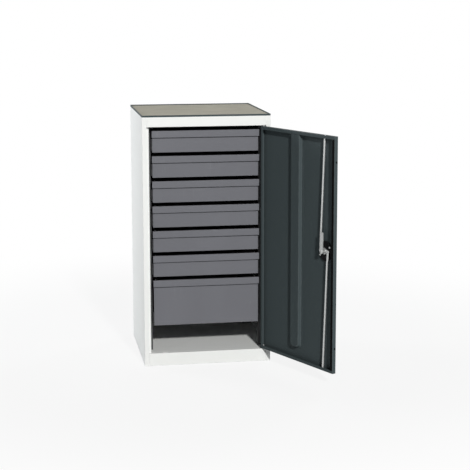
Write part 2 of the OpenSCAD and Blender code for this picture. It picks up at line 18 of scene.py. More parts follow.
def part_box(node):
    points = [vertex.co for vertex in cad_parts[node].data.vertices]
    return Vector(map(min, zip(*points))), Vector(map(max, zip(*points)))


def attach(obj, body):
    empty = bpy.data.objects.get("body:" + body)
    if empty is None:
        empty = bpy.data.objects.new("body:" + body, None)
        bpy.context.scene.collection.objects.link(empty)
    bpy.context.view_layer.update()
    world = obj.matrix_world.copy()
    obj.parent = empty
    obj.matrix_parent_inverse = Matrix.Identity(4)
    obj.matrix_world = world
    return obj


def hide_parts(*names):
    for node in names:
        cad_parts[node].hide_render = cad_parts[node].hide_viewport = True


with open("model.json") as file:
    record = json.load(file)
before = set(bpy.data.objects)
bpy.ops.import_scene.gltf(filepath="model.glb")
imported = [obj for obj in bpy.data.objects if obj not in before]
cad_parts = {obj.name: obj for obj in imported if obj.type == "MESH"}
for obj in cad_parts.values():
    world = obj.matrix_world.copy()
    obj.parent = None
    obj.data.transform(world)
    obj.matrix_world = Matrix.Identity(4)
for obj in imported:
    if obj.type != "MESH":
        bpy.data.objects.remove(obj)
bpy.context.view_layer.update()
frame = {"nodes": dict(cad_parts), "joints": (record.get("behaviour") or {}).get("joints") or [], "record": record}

# %% [markdown]
# ## The camera
#
# The cabinet is seen from far off with a long lens, a little from the left and a little from
# above, so its upright edges stay nearly parallel. A camera can be aimed with a constraint, or
# its axes can be written down. The axes are surer here, because the small roll stays exact.
# A Blender camera looks along its own -Z, with +Y up.

# %% Camera
MM = 0.001
IMAGE_PX = 470.0
SENSOR_MM = 36.0
FOCAL_PX = 1347.8
MIDDLE_PX = (250.0, 220.0)
YAW, PITCH, ROLL = 0.17454, 0.17077, 0.0001
CAMERA_AT = Vector((-733.5, -5365.0, 1466.7)) * MM
VIEW_END = 60.0

ahead = Vector((math.sin(YAW) * math.cos(PITCH), math.cos(YAW) * math.cos(PITCH),
                -math.sin(PITCH)))
level = Vector((math.cos(YAW), -math.sin(YAW), 0.0))
upward = level.cross(ahead)
camera_right = math.cos(ROLL) * level + math.sin(ROLL) * upward
camera_up = math.cos(ROLL) * upward - math.sin(ROLL) * level

lens = bpy.data.cameras.new("camera")
lens.sensor_width = SENSOR_MM
lens.lens = FOCAL_PX / IMAGE_PX * SENSOR_MM
lens.shift_x = (IMAGE_PX / 2 - MIDDLE_PX[0]) / IMAGE_PX
lens.shift_y = (MIDDLE_PX[1] - IMAGE_PX / 2) / IMAGE_PX
lens.clip_end = VIEW_END
camera = bpy.data.objects.new("camera", lens)
camera.matrix_world = Matrix((camera_right, camera_up, -ahead)).transposed().to_4x4()
camera.location = CAMERA_AT
bpy.context.scene.collection.objects.link(camera)
bpy.context.scene.camera = camera
print("lens", round(lens.lens, 1), "mm, shift", round(lens.shift_x, 3), round(lens.shift_y, 3))

# %% [markdown]
# ## Studio and light
#
# One strong lamp stands almost in front of the cabinet, slightly to the right, so that raised
# strips throw a thin dark line to their left. Two weaker lamps behind it light its sides, and a
# faint, even room fills the rest. The room can be many lamps or one world colour. The world is
# simpler, and it gives the zinc something pale to mirror. The floor and the world are white only
# where they are seen directly or mirrored: the Light Path node swaps their colour there, so the
# cabinet isn't flooded with extra light.


# %% Node helpers
def node(tree, kind, inputs=None, **settings):
    """Adds a shader node, makes its settings, and sets or links its inputs."""
    made = tree.nodes.new("ShaderNode" + kind)
    for key, value in settings.items():
        setattr(made, key, value)
    for key, value in (inputs or {}).items():
        if isinstance(value, bpy.types.NodeSocket):
            tree.links.new(value, made.inputs[key])
        else:
            made.inputs[key].default_value = value
    return made


def math_node(tree, operation, a, b=0.0, clamp=False):
    """The result socket of one Math node."""
    return node(tree, "Math", {0: a, 1: b}, operation=operation, use_clamp=clamp).outputs[0]


def plus(tree, a, b, clamp=False):
    """The sum of two values."""
    return math_node(tree, "ADD", a, b, clamp)


def times(tree, a, b, clamp=False):
    """The product of two values."""
    return math_node(tree, "MULTIPLY", a, b, clamp)


def ramp(tree, value, low, high, start=0.0):
    """Stretches a value smoothly, so that low becomes start and high becomes 1."""
    inputs = {"Value": value, "From Min": low, "From Max": high, "To Min": start}
    return node(tree, "MapRange", inputs, interpolation_type="SMOOTHSTEP").outputs["Result"]


def empty_tree(holder):
    """Switches a world or a material to nodes, and returns its tree with none in it."""
    holder.use_nodes = True
    holder.node_tree.nodes.clear()
    return holder.node_tree


def seen_directly(tree):
    """1 for camera, glossy and transmission rays, 0 for the rays that carry light about."""
    path = node(tree, "LightPath").outputs
    either = plus(tree, path["Is Camera Ray"], path["Is Glossy Ray"])
    return plus(tree, either, path["Is Transmission Ray"], clamp=True)


# %% World
ROOM_LIGHT = 0.07
ROOM_COLOUR = (0.97, 0.985, 1.0, 1.0)
WHITE = (1.0, 1.0, 1.0, 1.0)
world = bpy.data.worlds.new("studio")
tree = empty_tree(world)
room = node(tree, "Background", {"Color": ROOM_COLOUR, "Strength": ROOM_LIGHT})
paper = node(tree, "Background", {"Color": WHITE, "Strength": 1.0})
both = node(tree, "MixShader", {0: seen_directly(tree), 1: room.outputs[0], 2: paper.outputs[0]})
node(tree, "OutputWorld", {"Surface": both.outputs[0]})
bpy.context.scene.world = world
bpy.context.scene.view_settings.view_transform = "Standard"
print("room light", ROOM_LIGHT)

# %% Floor
# Near the cabinet a share of the matt floor stays under the white, so that a faint shadow shows.
FLOOR_HALF = 12.0
FLOOR_COLOUR = (0.62, 0.63, 0.63, 1.0)
FADE_FROM, FADE_TO = 0.9, 2.2
WHITE_SHARE = 0.86
bm = bmesh.new()
bmesh.ops.create_grid(bm, x_segments=1, y_segments=1, size=FLOOR_HALF)
floor_mesh = bpy.data.meshes.new("floor")
bm.to_mesh(floor_mesh)
bm.free()
floor = bpy.data.objects.new("floor", floor_mesh)
bpy.context.scene.collection.objects.link(floor)

pale = bpy.data.materials.new("studio_floor")
tree = empty_tree(pale)
matt = node(tree, "BsdfDiffuse", {"Color": FLOOR_COLOUR})
glow = node(tree, "Emission", {"Color": WHITE, "Strength": 1.0})
place = node(tree, "NewGeometry").outputs["Position"]
away = node(tree, "VectorMath", {0: place}, operation="LENGTH").outputs["Value"]
paper_share = ramp(tree, away, FADE_FROM, FADE_TO, WHITE_SHARE)
share = times(tree, seen_directly(tree), paper_share)
mix = node(tree, "MixShader", {0: share, 1: matt.outputs[0], 2: glow.outputs[0]})
node(tree, "OutputMaterial", {"Surface": mix.outputs[0]})
floor_mesh.materials.append(pale)
print("floor", 2 * FLOOR_HALF, "m wide")


# %% Lamps
def softbox(name, at, target, size, watts, colour):
    """A square lamp at one point, in metres, that shines at another."""
    data = bpy.data.lights.new(name, "AREA")
    data.shape = "SQUARE"
    data.size = size
    data.energy = watts
    data.color = colour
    lamp = bpy.data.objects.new(name, data)
    aim = (Vector(target) - Vector(at)).to_track_quat("-Z", "Y").to_matrix().to_4x4()
    lamp.matrix_world = Matrix.Translation(at) @ aim
    bpy.context.scene.collection.objects.link(lamp)


softbox("key_lamp", at=(1.0, -10.0, 5.6), target=(0.05, -0.2, 0.5), size=0.6, watts=1050.0,
        colour=(1.0, 0.99, 0.97))
softbox("side_lamp", at=(-3.0, 2.4, 1.6), target=(-0.25, 0.0, 0.5), size=1.2, watts=104.0,
        colour=(0.98, 0.99, 1.0))
softbox("far_side_lamp", at=(2.8, 2.6, 1.8), target=(0.25, 0.0, 0.5), size=1.2, watts=75.0,
        colour=(0.98, 0.99, 1.0))

# %% [markdown]
# ## Effects that several finishes share
#
# Powder coat, zinc and rubber differ in colour and gloss, but they share a few effects: a fine
# skin, soft clouds of tone, dust where a surface faces up, and wear on the folds together with a
# painted highlight there. Each effect is a node group with named sockets, built once, so every
# material places it with its own values.
# The groups only put out masks and heights. The shader itself stays in the material.


# %% Group helpers
def new_group(name, amounts, results):
    """A node group that reads a place and some amounts and gives numbers, and its inner sockets."""
    group = bpy.data.node_groups.new(name, "ShaderNodeTree")
    new_socket = group.interface.new_socket
    new_socket(name="Place", in_out="INPUT", socket_type="NodeSocketVector")
    for label, default in amounts.items():
        socket = new_socket(name=label, in_out="INPUT", socket_type="NodeSocketFloat")
        socket.default_value = default
    for label in results:
        new_socket(name=label, in_out="OUTPUT", socket_type="NodeSocketFloat")
    takes = group.nodes.new("NodeGroupInput").outputs
    gives = group.nodes.new("NodeGroupOutput").inputs
    print("group:", name, "gives", results)
    return group, takes, gives


def noise(tree, place, scale, detail, **more):
    """The value socket of one Noise Texture."""
    inputs = {"Vector": place, "Scale": scale, "Detail": detail, **more}
    return node(tree, "TexNoise", inputs).outputs["Fac"]


# %% Powder skin
# The skin of a baked powder coat: a fine pebble with a slower ripple under it.
skin_group, takes, gives = new_group(
    "powder skin", {"Pebble": 900.0, "Ripple": 120.0, "Ripple share": 0.5}, ["Height", "Speckle"])
pebble = noise(skin_group, takes["Place"], takes["Pebble"], 2.0)
ripple = noise(skin_group, takes["Place"], takes["Ripple"], 1.0)
slow = times(skin_group, ripple, takes["Ripple share"])
skin_group.links.new(plus(skin_group, pebble, slow), gives["Height"])
skin_group.links.new(ramp(skin_group, pebble, 0.35, 0.65), gives["Speckle"])

# %% Clouds
# Slow changes of tone, where the coat lies thicker or hands have wiped it.
cloud_group, takes, gives = new_group("clouds", {"Size": 5.0, "Streak": 1.0}, ["Mask"])
stretch = node(cloud_group, "CombineXYZ", {"X": 1.0, "Y": 1.0, "Z": takes["Streak"]})
placed = node(cloud_group, "VectorMath", {0: takes["Place"], 1: stretch.outputs[0]},
              operation="MULTIPLY")
cloud = noise(cloud_group, placed.outputs[0], takes["Size"], 5.0, Roughness=0.55, Distortion=0.4)
cloud_group.links.new(ramp(cloud_group, cloud, 0.3, 0.7), gives["Mask"])

# %% Dust
# Dust lies on what faces up, in patches.
dust_group, takes, gives = new_group("dust", {"Amount": 0.5, "Size": 14.0}, ["Mask"])
normal = node(dust_group, "NewGeometry").outputs["Normal"]
up = node(dust_group, "SeparateXYZ", {0: normal}).outputs["Z"]
patches = noise(dust_group, takes["Place"], takes["Size"], 6.0)
lying = times(dust_group, ramp(dust_group, up, 0.5, 1.0), ramp(dust_group, patches, 0.3, 0.75))
dust_group.links.new(times(dust_group, lying, takes["Amount"], clamp=True), gives["Mask"])

# %% Folds: wear and painted highlight
# Folds carry the number 1 in the mesh attribute "fold". There the coat is thin and polished, and the colour is
# made lighter: partly wear, partly a painted highlight along the bend.
LEAST_FOLD_WEAR_HIGHLIGHT = 0.35
fold_wear_highlight_group, takes, gives = new_group(
    "rubbed folds", {"Fold": 0.0, "Amount": 0.5, "Break up": 60.0}, ["Mask"])
nicks = noise(fold_wear_highlight_group, takes["Place"], takes["Break up"], 4.0)
broken = plus(fold_wear_highlight_group, ramp(fold_wear_highlight_group, nicks, 0.35, 0.7), LEAST_FOLD_WEAR_HIGHLIGHT)
fold_wear_and_shine = times(fold_wear_highlight_group, times(fold_wear_highlight_group, takes["Fold"], broken), takes["Amount"])
fold_wear_highlight_group.links.new(math_node(fold_wear_highlight_group, "MINIMUM", fold_wear_and_shine, 1.0, clamp=True), gives["Mask"])

# %% Fine scratches
# Hairline scratches in two directions, rare and short: each is the thin line along which a
# noise, turned and stretched, passes through its middle value.
HAIR_TURNS = (((0.4, 0.3, 0.9), (1.0, 1.0, 0.03)), ((1.1, 0.2, 2.3), (0.04, 1.0, 1.0)))
HAIR_WIDTH = 0.004
GATE_SIZE = 9.0
scratch_group, takes, gives = new_group("scratches", {"Size": 40.0, "Amount": 0.5}, ["Mask"])
hairs = []
for turn, stretch_by in HAIR_TURNS:
    turned = node(scratch_group, "Mapping",
                  {"Vector": takes["Place"], "Rotation": turn, "Scale": stretch_by})
    hair = noise(scratch_group, turned.outputs[0], takes["Size"], 3.0)
    near = math_node(scratch_group, "ABSOLUTE", math_node(scratch_group, "SUBTRACT", hair, 0.5))
    hairs.append(math_node(scratch_group, "LESS_THAN", near, HAIR_WIDTH))
gate = noise(scratch_group, takes["Place"], GATE_SIZE, 2.0)
some = times(scratch_group, math_node(scratch_group, "MAXIMUM", *hairs),
             ramp(scratch_group, gate, 0.52, 0.68))
scratch_group.links.new(times(scratch_group, some, takes["Amount"], clamp=True), gives["Mask"])

# %% [markdown]
# ## Powder coat
#
# The carcass, the door and the drawers are the same sheet in three colours of baked powder.
# One function can mix all three finishes, because only colour, gloss and the amount of each
# effect change. The shade moves a little with the clouds and the pebble, the folds are made
# lighter for wear and as a painted highlight, dust dulls what faces up, and the skin goes to a
# Bump node as height.


# %% Material helpers
def new_material(name):
    """An empty node material, its tree, and the socket of the place on the object, in metres."""
    material = bpy.data.materials.new(name)
    tree = empty_tree(material)
    return material, tree, node(tree, "TexCoord").outputs["Object"]


def effect(tree, group, **inputs):
    """Places an effect group and returns its output sockets."""
    labelled = {key.replace("_", " "): value for key, value in inputs.items()}
    return node(tree, "Group", labelled, node_tree=group).outputs


def blend_colour(tree, share, under, over):
    """Mixes two colours by a share from 0 to 1."""
    return node(tree, "Mix", {0: share, 6: under, 7: over}, data_type="RGBA").outputs[2]


def tone(colour, factor, white=0.0):
    """The same colour with some white added, made lighter or darker by a factor."""
    return tuple(min(1.0, (c + white) * factor) for c in colour[:3]) + (1.0,)


def finish_with(material, tree, colour, roughness, height, distance, mirror=0.5, metallic=0.0):
    """Closes a material: the Principled shader, its bump and the output."""
    bump = node(tree, "Bump", {"Height": height, "Strength": 1.0, "Distance": distance})
    shader = node(tree, "BsdfPrincipled", {
        "Base Color": colour, "Roughness": roughness, "Normal": bump.outputs[0],
        "Specular IOR Level": mirror, "Metallic": metallic})
    node(tree, "OutputMaterial", {"Surface": shader.outputs[0]})
    print("finish:", material.name, "from", len(tree.nodes), "nodes")
    return material


# %% Powder coat
PAINT_DUST = (0.42, 0.40, 0.37, 1.0)
SPECKLE_SHARE = 0.12
CLOUD_ROUGH, RUB_POLISH, DUST_ROUGH = 0.07, 0.12, 0.3


def powder_coat(name, colour, gloss, mirror, clouds, streak, fold_wear_and_highlight, dust, pebble, depth,
                scratch=0.0):
    """Baked powder. Gloss is its roughness, mirror its specular level, pebble the grains in a
    metre and depth their height in metres. The rest say how much of each effect there is."""
    material, tree, place = new_material(name)
    cloud = effect(tree, cloud_group, Place=place, Size=4.0, Streak=streak)["Mask"]
    skin = effect(tree, skin_group, Place=place, Pebble=pebble, Ripple=pebble / 6,
                  Ripple_share=0.2)
    base = blend_colour(tree, cloud, tone(colour, 1 - clouds), tone(colour, 1 + clouds))
    speckle = times(tree, skin["Speckle"], SPECKLE_SHARE)
    base = blend_colour(tree, speckle, base, tone(colour, 1.25))
    fold = node(tree, "Attribute", attribute_name="fold").outputs["Fac"]
    fold_wear_highlight_mask = effect(tree, fold_wear_highlight_group, Place=place, Fold=fold, Amount=fold_wear_and_highlight, Break_up=45.0)["Mask"]
    # Painted highlight with wear: the folds are made lighter in colour.
    base = blend_colour(tree, fold_wear_highlight_mask, base, tone(colour, 1.25, white=0.12))
    hair = effect(tree, scratch_group, Place=place, Size=30.0, Amount=scratch)["Mask"]
    base = blend_colour(tree, hair, base, tone(colour, 1.2, white=0.1))
    lying = effect(tree, dust_group, Place=place, Amount=dust, Size=11.0)["Mask"]
    base = blend_colour(tree, lying, base, PAINT_DUST)
    rough = plus(tree, gloss, times(tree, cloud, CLOUD_ROUGH))
    rough = math_node(tree, "SUBTRACT", rough, times(tree, fold_wear_highlight_mask, RUB_POLISH))
    rough = plus(tree, rough, times(tree, lying, DUST_ROUGH), clamp=True)
    return finish_with(material, tree, base, rough, skin["Height"], depth, mirror)


# The fold amounts below set both the wear and the painted highlight on the folds.
FINISHES = {
    "carcass_white": powder_coat(
        "white powder coat", (0.83, 0.845, 0.835), gloss=0.50, mirror=0.15, clouds=0.008,
        streak=0.35, fold_wear_and_highlight=0.3, dust=0.05, pebble=700.0, depth=0.00006),
    "anthracite_paint": powder_coat(
        "anthracite powder coat", (0.061, 0.078, 0.083), gloss=0.50, mirror=0.04, clouds=0.03,
        streak=0.3, fold_wear_and_highlight=0.12, dust=0.06, pebble=620.0, depth=0.00007, scratch=0.05),
    "drawer_grey": powder_coat(
        "grey powder coat", (0.152, 0.155, 0.173), gloss=0.48, mirror=0.12, clouds=0.03,
        streak=0.5, fold_wear_and_highlight=0.15, dust=0.06, pebble=620.0, depth=0.00007, scratch=0.1),
}

# %% [markdown]
# ## Zinc, plastic and rubber
#
# The lock parts are zinc plated: bright, slightly blue, with a fine brushed grain and a dull
# bloom in patches. The slides and their uprights are the same drawn steel, so one function makes
# both finishes; they get a near-black colour, painted shade that keeps the gaps beside the drawers
# dark. The housing and handle are moulded black plastic with a spark-eroded grain. The mat is
# olive rubber that has greyed, and the buffers are plain black rubber.

# %% Plated steel
STEEL_DUST = (0.3, 0.29, 0.27, 1.0)
SPANGLE_SIZE = 160.0
BLOOM_SHARE, BRUSH_SHARE = 0.12, 0.25
BLOOM_ROUGH, FACET_ROUGH = 0.08, 0.02
BRUSH_DEPTH = 0.00002


def plated(name, colour, gloss, grain, dust):
    """Coated steel: grain is how many brush lines lie in a metre, along each axis."""
    material, tree, place = new_material(name)
    drawn = node(tree, "Mapping", {"Vector": place, "Scale": grain})
    brush = noise(tree, drawn.outputs[0], 1.0, 4.0)
    bloom = effect(tree, cloud_group, Place=place, Size=28.0, Streak=0.6)["Mask"]
    spangle = node(tree, "TexVoronoi", {"Vector": place, "Scale": SPANGLE_SIZE}, feature="F1")
    dull = times(tree, bloom, BLOOM_SHARE)
    base = blend_colour(tree, dull, colour, tone(colour, 0.75))
    bright = times(tree, brush, BRUSH_SHARE)
    base = blend_colour(tree, bright, base, tone(colour, 1.15))
    lying = effect(tree, dust_group, Place=place, Amount=dust, Size=30.0)["Mask"]
    base = blend_colour(tree, lying, base, STEEL_DUST)
    rough = plus(tree, gloss, times(tree, bloom, BLOOM_ROUGH))
    facet = times(tree, spangle.outputs["Distance"], 14.0)
    rough = plus(tree, rough, times(tree, facet, FACET_ROUGH), clamp=True)
    return finish_with(material, tree, base, rough, brush, BRUSH_DEPTH, metallic=0.85)


BRUSH_LINES = (900.0, 900.0, 60.0)
FINISHES["zinc_steel"] = plated(
    "zinc plate", (0.52, 0.53, 0.53, 1.0), gloss=0.28, grain=BRUSH_LINES, dust=0.25)
# Painted shade: the slides and uprights are near black so the gaps beside the drawers stay dark.
FINISHES["slide_steel"] = plated(
    "near-black steel painted shade", (0.07, 0.072, 0.075, 1.0), gloss=0.42, grain=BRUSH_LINES, dust=0.1)

# %% Plastic and rubber
GRAIN_SHARE = 0.2
BLOOM_DULL = 0.12


def moulded(name, colour, gloss, mirror, grain, depth, fade, dust):
    """Moulded plastic or rubber with an even grain and a greyed bloom."""
    material, tree, place = new_material(name)
    skin = effect(tree, skin_group, Place=place, Pebble=grain, Ripple=grain / 4, Ripple_share=0.3)
    cloud = effect(tree, cloud_group, Place=place, Size=9.0, Streak=1.0)["Mask"]
    base = blend_colour(tree, cloud, tone(colour, 1 - fade), tone(colour, 1 + fade))
    speckle = times(tree, skin["Speckle"], GRAIN_SHARE)
    base = blend_colour(tree, speckle, base, tone(colour, 1.3))
    lying = effect(tree, dust_group, Place=place, Amount=dust, Size=18.0)["Mask"]
    base = blend_colour(tree, lying, base, tone([c * 0.6 + 0.2 for c in colour], 1.0))
    rough = plus(tree, gloss, times(tree, cloud, BLOOM_DULL), clamp=True)
    return finish_with(material, tree, base, rough, skin["Height"], depth, mirror)


FINISHES["black_plastic"] = moulded(
    "black moulded plastic", (0.007, 0.007, 0.008), gloss=0.45, mirror=0.06, grain=1500.0,
    depth=0.00006, fade=0.2, dust=0.05)
FINISHES["mat_rubber"] = moulded(
    "olive ribbed rubber", (0.40, 0.385, 0.325), gloss=0.75, mirror=0.2, grain=800.0,
    depth=0.00012, fade=0.08, dust=0.2)
FINISHES["buffer_rubber"] = moulded(
    "black rubber", (0.005, 0.005, 0.005), gloss=0.65, mirror=0.03, grain=1200.0,
    depth=0.00008, fade=0.2, dust=0.04)

# %% Finishes on the solids
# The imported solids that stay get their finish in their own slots.
slot_of = {row["node"]: row["material_slot"] for row in frame["record"]["subparts"]}
for name, solid in frame["nodes"].items():
    solid.data.materials.clear()
    solid.data.materials.append(FINISHES[slot_of[name]])
print("finished", len(frame["nodes"]), "solids with", len(FINISHES), "finishes")

# %% [markdown]
# ## Sheet metal: draw, pull, fold, thicken
#
# Nearly everything here starts as a flat sheet on a folding press. The same order works on a
# bmesh: draw the line of the section by pulling one vertex from bend to bend, pull the line out
# into a sheet, round the bends with bevel, and thicken it inwards with solidify. Working from
# the outer face keeps the outside at its true size.

# %% Tolerances
# The first two are in metres, the angles in radians, FACING is a cosine and NEAR is in mm.
SAME_POINT = 1e-6
ON_PLANE = 1e-7
BEND_ANGLE = 0.3
SQUARE_ANGLE = 1.0
FACING = 0.9
NEAR = 0.5
print("points nearer than", SAME_POINT, "m are one, faces within", NEAR, "mm of a plane are on it")


# %% Drawing a section
def corner(x, y, z):
    """A point given in millimetres."""
    return Vector((x, y, z)) * MM


def verts_of(made):
    """The vertices among what an operator made."""
    return [g for g in made if isinstance(g, bmesh.types.BMVert)]


def draw_line(bm, points):
    """Pulls one vertex from point to point, and returns the line."""
    tip = bmesh.ops.create_vert(bm, co=points[0])["vert"]
    line = list(tip)
    for here, there in zip(points, points[1:]):
        made = bmesh.ops.extrude_vert_indiv(bm, verts=tip)
        tip = made["verts"]
        bmesh.ops.translate(bm, verts=tip, vec=there - here)
        line += list(tip) + list(made["edges"])
    return line


def pull(bm, along, edges=None):
    """Pulls edges, or else every edge, out into a sheet, and returns what it made."""
    made = bmesh.ops.extrude_edge_only(bm, edges=edges or bm.edges[:])["geom"]
    bmesh.ops.translate(bm, verts=verts_of(made), vec=along)
    return made


# %% Rounding
def bevel(bm, geom, radius, segments, affect):
    """Rounds edges, or the corners of a flat sheet, and returns the new faces."""
    return bmesh.ops.bevel(bm, geom=geom, offset=radius * MM, offset_type="OFFSET",
                           segments=segments, profile=0.5, affect=affect, material=-1,
                           clamp_overlap=True)["faces"]


def round_edges(bm, edges, radius, segments=3):
    """Rounds edges, and writes 1 in the attribute "fold" on the new faces."""
    fold = bm.faces.layers.float.get("fold") or bm.faces.layers.float.new("fold")
    for face in bevel(bm, edges, radius, segments, "EDGES"):
        face[fold] = 1.0


def bends(bm):
    """The edges where two faces of the sheet meet at an angle."""
    bm.normal_update()
    return [e for e in bm.edges if len(e.link_faces) == 2 and e.calc_face_angle(0.0) > BEND_ANGLE]


def folded_sheet(section, along, radius):
    """A sheet pulled out of a section in millimetres, with its bends rounded."""
    bm = bmesh.new()
    draw_line(bm, [corner(*point) for point in section])
    pull(bm, corner(*along))
    round_edges(bm, bends(bm), radius)
    return bm


# %% Cutting and punching
def cut(bm, across, places):
    """Cuts the sheet square to a direction, at places in mm along it, and keeps both sides."""
    across = Vector(across)
    for place in places:
        bmesh.ops.bisect_plane(bm, geom=bm.verts[:] + bm.edges[:] + bm.faces[:], dist=ON_PLANE,
                               plane_co=across * place * MM, plane_no=across)


def drop_faces(bm, unwanted):
    """Deletes the faces whose middle, in millimetres, is unwanted."""
    gone = [f for f in bm.faces if unwanted(*(f.calc_center_median() / MM))]
    bmesh.ops.delete(bm, geom=gone, context="FACES")


def punch(bm, low, high, hit):
    """Cuts a rectangular window, from low to high in mm, out of the faces that hit accepts."""
    for across, a, b in zip(((1, 0, 0), (0, 1, 0), (0, 0, 1)), low, high):
        if a is not None:
            cut(bm, across, (a, b))

    def inside(*middle):
        return all(a is None or a < v < b for a, v, b in zip(low, middle, high))

    drop_faces(bm, lambda *middle: inside(*middle) and hit(*middle))


def thicken(bm, thickness, outside):
    """Faces the sheet's largest face towards outside, then gives the sheet its wall inwards."""
    bmesh.ops.remove_doubles(bm, verts=bm.verts[:], dist=SAME_POINT)
    bmesh.ops.recalc_face_normals(bm, faces=bm.faces[:])
    bm.normal_update()
    largest = max(bm.faces, key=lambda f: f.calc_area())
    if largest.normal.dot(Vector(outside)) < 0:
        bmesh.ops.reverse_faces(bm, faces=bm.faces[:])
        bm.normal_update()
    bmesh.ops.solidify(bm, geom=bm.faces[:], thickness=thickness * MM)


# %% Blocks and choosing
def fit(bm, verts, low, high):
    """Stretches a shape of size 1 to the box between two corners in millimetres."""
    bmesh.ops.scale(bm, verts=verts, vec=[(b - a) * MM for a, b in zip(low, high)])
    bmesh.ops.translate(bm, verts=verts, vec=corner(*[(a + b) / 2 for a, b in zip(low, high)]))


def block(bm, low, high):
    """A block between two corners in millimetres."""
    fit(bm, bmesh.ops.create_cube(bm, size=1.0)["verts"], low, high)


def open_edges(bm):
    """The edges with a face on one side only."""
    return [e for e in bm.edges if len(e.link_faces) == 1]


def faces_towards(bm, direction):
    """The faces that look in one direction."""
    bm.normal_update()
    return [f for f in bm.faces if f.normal.dot(Vector(direction)) > FACING]


def upright_edges(bm):
    """The edges that run up and down."""
    return [e for e in bm.edges
            if abs((e.verts[1].co - e.verts[0].co).normalized().z) > 0.99]


def inset(bm, faces, width, depth=0.0, **more):
    """Insets faces together by a width, and raises them by a depth, both in millimetres."""
    bmesh.ops.inset_region(bm, faces=faces, thickness=width * MM, depth=depth * MM,
                           use_even_offset=True, **more)


def recess(bm, faces, along):
    """Sinks faces into the solid: walls all round, and the faces again at the bottom."""
    sunk = bmesh.ops.extrude_face_region(bm, geom=faces)["geom"]
    bmesh.ops.delete(bm, geom=faces, context="FACES")
    bmesh.ops.translate(bm, verts=verts_of(sunk), vec=along)


# %% Showing a piece
SHARP_ANGLE = math.radians(28)


def show(bm, name, slot, body, nodes, recalculate=False):
    """Turns a bmesh into a finished piece that rides on a body and stands for CAD nodes."""
    if recalculate:
        bmesh.ops.remove_doubles(bm, verts=bm.verts[:], dist=SAME_POINT)
        bmesh.ops.recalc_face_normals(bm, faces=bm.faces[:])
    bm.normal_update()
    for edge in bm.edges:
        edge.smooth = not (len(edge.link_faces) == 2 and edge.calc_face_angle(0.0) > SHARP_ANGLE)
    for face in bm.faces:
        face.smooth = True
    mesh = bpy.data.meshes.new(name)
    bm.to_mesh(mesh)
    bm.free()
    mesh.materials.append(FINISHES[slot])
    piece = bpy.data.objects.new(name, mesh)
    bpy.context.scene.collection.objects.link(piece)
    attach(piece, body)
    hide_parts(*nodes)
    even = piece.modifiers.new("even shading", "WEIGHTED_NORMAL")
    even.keep_sharp = True
    print(name, len(mesh.polygons), "faces")


def box_mm(node_name):
    """A node's lowest and highest corner in millimetres."""
    low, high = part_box(node_name)
    return low / MM, high / MM


# %% [markdown]
# ## Carcass
#
# Each side is one sheet: a flange behind the back panel, the side, the stile at the front and a
# return. The left side's return goes on into the strip that the door closes against. The rails
# are channels between the stiles, and the floor panel folds down behind the lower rail.

# %% Carcass sizes
left_low, left_high = box_mm("side_left")
rail_low, rail_high = box_mm("top_rail")
HALF_W = -left_low.x
FRONT_Y, BACK_Y = left_low.y, left_high.y
CARCASS_H = left_high.z
STOP_X = left_high.x
OPEN_HALF = rail_high.x
OPEN_Z0, OPEN_Z1 = box_mm("bottom_rail")[1].z, rail_low.z
RETURN_Y = rail_high.y
SHEET = 1.0
REAR_FLANGE = 15.0
RAIL_LIP = 12.0
FLOOR_FOLD = 20.0
FOLD_R = 2.0
print("carcass", HALF_W * 2, BACK_Y - FRONT_Y, CARCASS_H)
print("opening", OPEN_HALF * 2, "wide, from", OPEN_Z0, "to", OPEN_Z1)


# %% Sides
def side_sheet(side, return_to):
    """A side, from its rear flange to its stile and on through the points of its return."""
    section = [(side * (HALF_W - REAR_FLANGE), BACK_Y), (side * HALF_W, BACK_Y),
               (side * HALF_W, FRONT_Y), (side * OPEN_HALF, FRONT_Y)] + return_to
    return folded_sheet([(x, y, 0) for x, y in section], (0, 0, CARCASS_H), FOLD_R)


bm = side_sheet(-1, [(-OPEN_HALF, RETURN_Y - SHEET), (STOP_X, RETURN_Y - SHEET)])
cut(bm, (0, 0, 1), (OPEN_Z0, OPEN_Z1))
drop_faces(bm, lambda x, y, z: x > -OPEN_HALF + FOLD_R and not OPEN_Z0 < z < OPEN_Z1)
thicken(bm, SHEET, (-1, 0, 0))
show(bm, "left_side_sheet", "carcass_white", "carcass", ["side_left"])

bm = side_sheet(1, [(OPEN_HALF, RETURN_Y)])
thicken(bm, SHEET, (1, 0, 0))
show(bm, "right_side_sheet", "carcass_white", "carcass", ["side_right"])

# %% Where the hinge and the lock are
# The door rests open, so the lock's axis is turned back to where it is on the shut door.
joints = {joint["name"]: joint for joint in frame["joints"]}
HINGE = Vector(joints["door_swing"]["pos_m"]) / MM
HINGE.z = 0.0
DOOR_OPEN = -math.radians(joints["door_swing"]["range_deg"][0])
swing = Matrix.Rotation(DOOR_OPEN, 4, "Z")
lock_closed = swing.inverted() @ (Vector(joints["lock_turn"]["pos_m"]) / MM - HINGE) + HINGE
LOCK_X, LOCK_Z = lock_closed.x, lock_closed.z
ROD_DEPTH = 10.1
ROD_Y = FRONT_Y + ROD_DEPTH
print("hinge at", HINGE[:], "lock at", LOCK_X, LOCK_Z, "open", math.degrees(DOOR_OPEN))

# %% Rails and floor
RAIL_SLOT = (10.6, 6.0)


def rod_window(bm, slot, hit):
    """Punches the slot that the locking rod passes, given its half sizes."""
    half_x, half_y = slot
    punch(bm, (LOCK_X - half_x, ROD_Y - half_y, None), (LOCK_X + half_x, ROD_Y + half_y, None), hit)


def rail_sheet(name, node_name, section, hit):
    """A rail: a channel folded up between the stiles, with a slot for the locking rod."""
    bm = folded_sheet([(-OPEN_HALF, y, z) for y, z in section], (2 * OPEN_HALF, 0, 0), FOLD_R)
    rod_window(bm, RAIL_SLOT, hit)
    thicken(bm, SHEET, (0, -1, 0))
    show(bm, name, "carcass_white", "carcass", [node_name])


